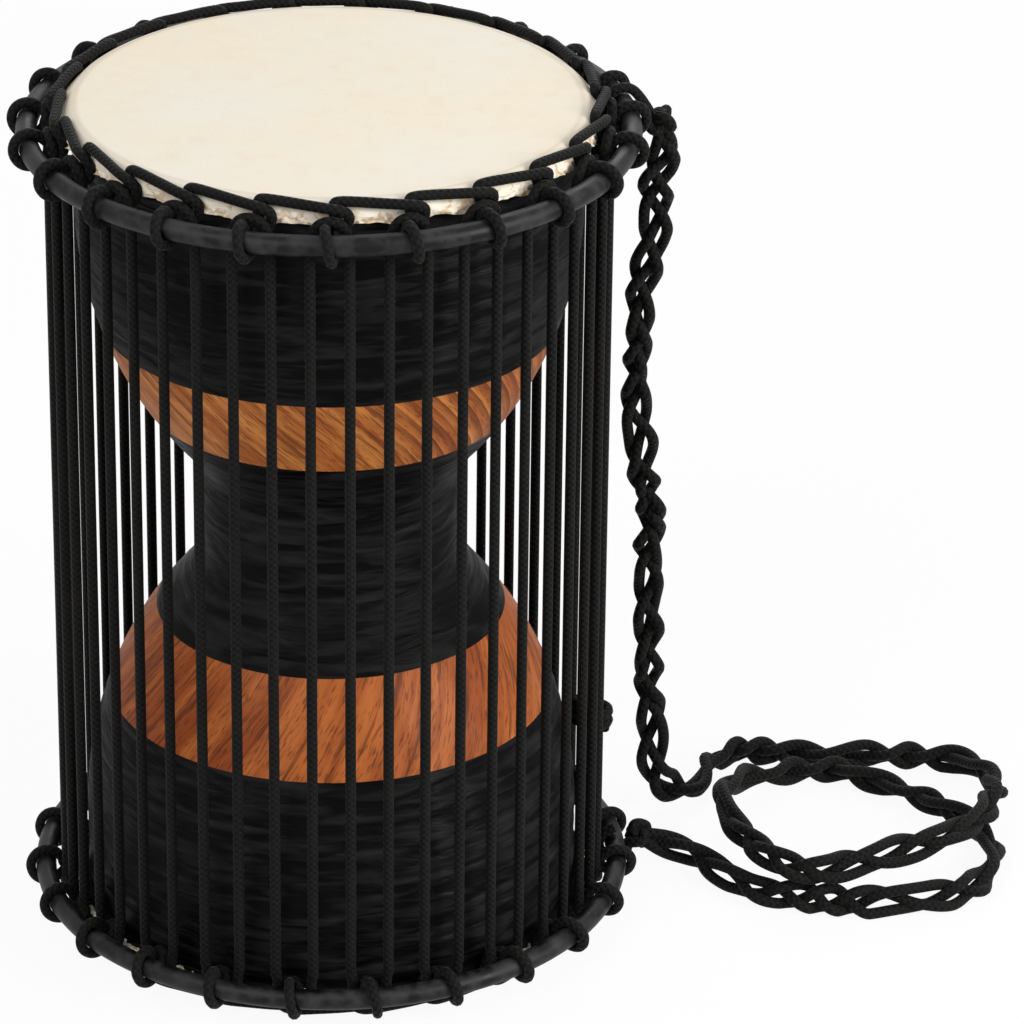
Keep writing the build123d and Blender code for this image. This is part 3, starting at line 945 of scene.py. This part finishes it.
def shell_radius(height):
    """The shell's outer radius at a height above the waist's middle."""
    height = abs(height)
    ease_low, ease_high = waist_land / 2, bowl_foot + easing_run
    if height >= bowl_top:
        return rim_radius
    bowl = rim_radius - bowl_arc + math.sqrt(bowl_arc**2 - (bowl_top - height) ** 2)
    if height >= ease_high:
        return bowl
    if height <= ease_low:
        return waist_radius
    share = (height - ease_low) / (ease_high - ease_low)
    high = rim_radius - bowl_arc + math.sqrt(bowl_arc**2 - (bowl_top - ease_high) ** 2)
    slope = (bowl_top - ease_high) / math.sqrt(bowl_arc**2 - (bowl_top - ease_high) ** 2)
    rise = ease_high - ease_low
    eased = waist_radius + (high - waist_radius) * share**2 * (3 - 2 * share)
    return eased + slope * rise * share**2 * (share - 1)


row_step = 1.6 * mm
shell_low = middle - shell_half
outer_heights = []
edges = [shell_low, *(edge for band in bands for edge in band), shell_low + 2 * shell_half]
for low, high in zip(edges, edges[1:]):
    count = round((high - low) / row_step)
    outer_heights += [low + (high - low) * i / count for i in range(count)]
outer_heights.append(edges[-1])
outer = [(shell_radius(height - middle), height) for height in outer_heights]
inner = [
    (rim_radius - rim_wall, shell_half),
    (rim_radius - rim_wall, shell_half - cup_depth),
    (throat_radius, throat_length / 2),
    (throat_radius, -throat_length / 2),
    (rim_radius - rim_wall, cup_depth - shell_half),
    (rim_radius - rim_wall, -shell_half),
]
shell_outline = [*outer, *((radius, middle + height) for radius, height in inner)]


def gouged(row, radius, height, angle):
    """Sinks the black parts of the shell into shallow gouge marks that fade out towards the bands and the
    rims.
    """
    if row >= len(outer):
        return radius, height
    from_edge = min(abs(height - edge) for edge in edges)
    for low, high in bands:
        if low <= height <= high:
            return radius, height
    spot = Vector((math.sin(angle), math.cos(angle), 0))
    drift = noise.noise(spot * 2.6 + Vector((0, 0, height / drift_height)))
    phase = height / mark_spacing + 1.1 * drift
    mark = 1 - abs(math.sin(math.pi * phase))
    fade = min(1.0, from_edge / mark_fade)
    patch = noise.noise(spot * 5.0 + Vector((4.0, 0, height / patch_height)))
    patchy = min(1.0, max(0.0, 0.5 + 1.3 * patch))
    return radius - mark_depth * mark * fade * patchy, height


mesh = turned_mesh("carved_shell", shell_outline, turned_columns, gouged)
piece(
    "carved_shell",
    mesh,
    [black_stained_wood, lower_band_wood, upper_band_wood],
    ["shell"],
)
for polygon in mesh.polygons:
    height = polygon.center.z
    if math.hypot(polygon.center.x, polygon.center.y) > shell_radius(height - middle) - outer_depth:
        for i, (low, high) in enumerate(bands):
            if low < height < high:
                polygon.material_index = i + 1
mesh.set_sharp_from_angle(angle=math.radians(50))

# Heads: a skin that lies flat over the rim, folds over the hoop and ends in a crumpled skirt
head_outline = [
    (0, skin_rise),
    (20 * mm, skin_rise),
    (45 * mm, skin_rise),
    (70 * mm, skin_rise),
    (86 * mm, skin_rise),
    (92 * mm, skin_rise),
    (94.5 * mm, skin_rise),
    (96.2 * mm, skin_rise - 0.1 * mm),
    (97.6 * mm, skin_rise - 0.9 * mm),
    (99.2 * mm, fold_rise + 1.0 * mm),
    (skirt_radius, fold_rise - 0.3 * mm),
    (skirt_radius + 0.1 * mm, 6.2 * mm),
    (skirt_radius + 0.2 * mm, 5.3 * mm),
    (skirt_radius + 0.3 * mm, 4.4 * mm),
    (skirt_radius + 0.4 * mm, 3.5 * mm),
    (skirt_radius + 0.5 * mm, skirt_low),
    (skirt_radius - 0.2 * mm, skirt_low),
    (skirt_radius - skin, 4.4 * mm),
    (skirt_radius - skin, fold_rise - 1.2 * mm),
    (98.4 * mm, fold_rise + 0.4 * mm),
    (96 * mm, skin_rise - skin),
    (60 * mm, skin_rise - skin),
    (0, skin_rise - skin),
]
skirt_rows = range(10, 18)
head_columns = 24 * station_count
wave_reach = 0.6 * mm
crease_reach = 0.85 * mm
crease_rise = 0.3 * mm
ragged_rise = 0.8 * mm
station_drop = 0.9 * mm
wide_fold_height = 5 * mm
narrow_fold_height = 3 * mm


def crumpled(station_turn, trim):
    """How a skirt is creased into sharp folds: its edge hangs lowest under each station, less a trim."""

    def moved(row, radius, height, angle):
        if row not in skirt_rows:
            return radius, height
        low = max(0.0, min(1.0, (fold_rise - height) / (fold_rise - skirt_low)))
        spot = Vector((math.sin(angle), math.cos(angle), 0.3))
        wave = noise.noise(spot * 9)
        ragged = noise.noise(spot * 19 + Vector((0, 5, 0)))
        wide_folds = angle * station_count * 0.55 + 1.9 * wave + height / wide_fold_height
        narrow_folds = angle * station_count * 0.9 - 2.3 * ragged - height / narrow_fold_height
        crease = 2 - 4 * abs(wide_folds % 1 - 0.5) - 4 * abs(narrow_folds % 1 - 0.5)
        hang = math.cos(station_count * (angle - station_turn))
        radius += (wave_reach * wave + crease_reach * crease) * low
        height += (ragged_rise * ragged + crease_rise * crease - station_drop * hang + trim) * low
        return radius, height

    return moved


skirt_trim = {1: 0, -1: 1.8 * mm}
for end_name, end, station_turn in (("top", 1, 0), ("bottom", -1, math.radians(station / 2))):
    mesh = turned_mesh("head", head_outline, head_columns, crumpled(station_turn, skirt_trim[end]))
    for vertex in mesh.vertices:
        vertex.co.z = middle + end * (ring_spacing / 2 + vertex.co.z)
    if end < 0:
        mesh.flip_normals()
    mesh.set_sharp_from_angle(angle=math.radians(30))
    piece(f"{end_name}_head_skin", mesh, [goatskin], [f"{end_name}_skin"])

# Flesh hoops: the solids stay, in the shell's black stained finish, which here is painted shade under the
# fold of the skin
for name in ("top_hoop", "bottom_hoop"):
    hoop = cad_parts[name]
    hoop.data.materials.clear()
    hoop.data.materials.append(black_stained_wood)


def seen_rays(tree):
    """1 for a ray that is seen, straight or by way of a surface, and 0 for one that only lights."""
    paths = put(tree, "LightPath")
    seen = put(
        tree,
        "Math",
        {0: paths.outputs["Is Camera Ray"], 1: paths.outputs["Is Glossy Ray"]},
        operation="MAXIMUM",
    )
    seen_all = put(
        tree,
        "Math",
        {0: seen.outputs[0], 1: paths.outputs["Is Transmission Ray"]},
        operation="MAXIMUM",
    )
    return seen_all.outputs[0]


# Floor: pale, seen as white by the camera and in reflections, with part of the drum's shadow kept
white_share = 0.93
floor_reach = 12
floor_drop = 0.2 * mm
floor_paper, tree = new_finish("floor_paper")
share = put(tree, "Math", {0: seen_rays(tree), 1: white_share}, operation="MULTIPLY")
matt = put(tree, "BsdfDiffuse", {"Color": paint("#f4f3f1")})
white = put(tree, "Emission", {"Color": paint("#ffffff"), "Strength": 1})
mixed = put(tree, "MixShader", {0: share.outputs[0], 1: matt.outputs[0], 2: white.outputs[0]})
put(tree, "OutputMaterial", {0: mixed.outputs[0]})
floor_mesh = bpy.data.meshes.new("floor")
corners = [(floor_reach * x, floor_reach * y, 0) for x, y in ((-1, -1), (1, -1), (1, 1), (-1, 1))]
floor_mesh.from_pydata(corners, [], [(0, 1, 2, 3)])
floor_mesh.materials.append(floor_paper)
floor = bpy.data.objects.new("floor", floor_mesh)
floor.location.z = -floor_drop
scene.collection.objects.link(floor)

# Light: an even pale room, with broad soft lamps at the upper left, on the right and behind
world = bpy.data.worlds.new("room")
world.use_nodes = True
tree = world.node_tree
tree.nodes.clear()
level = put(tree, "MapRange", {0: seen_rays(tree), 3: 0.3, 4: 1.0})
room = put(tree, "Background", {"Color": paint("#ffffff"), "Strength": level.outputs[0]})
put(tree, "OutputWorld", {0: room.outputs[0]})
scene.world = world

for name, place, target, size, power in (
    ("key", (-0.9, -1.2, 1.5), (0, 0, 0.2), 1.0, 15.5),
    ("fill", (1.5, -0.9, 0.9), (0, 0, 0.15), 1.0, 31),
    ("back", (0.3, 1.4, 1.4), (0, 0, 0.25), 1.0, 11),
):
    lamp_data = bpy.data.lights.new(name, "AREA")
    lamp_data.shape = "SQUARE"
    lamp_data.size = size
    lamp_data.energy = power
    lamp = bpy.data.objects.new(name, lamp_data)
    lamp.location = place
    lamp.rotation_euler = (Vector(target) - Vector(place)).to_track_quat("-Z", "Y").to_euler()
    scene.collection.objects.link(lamp)

scene.view_settings.view_transform = "Standard"
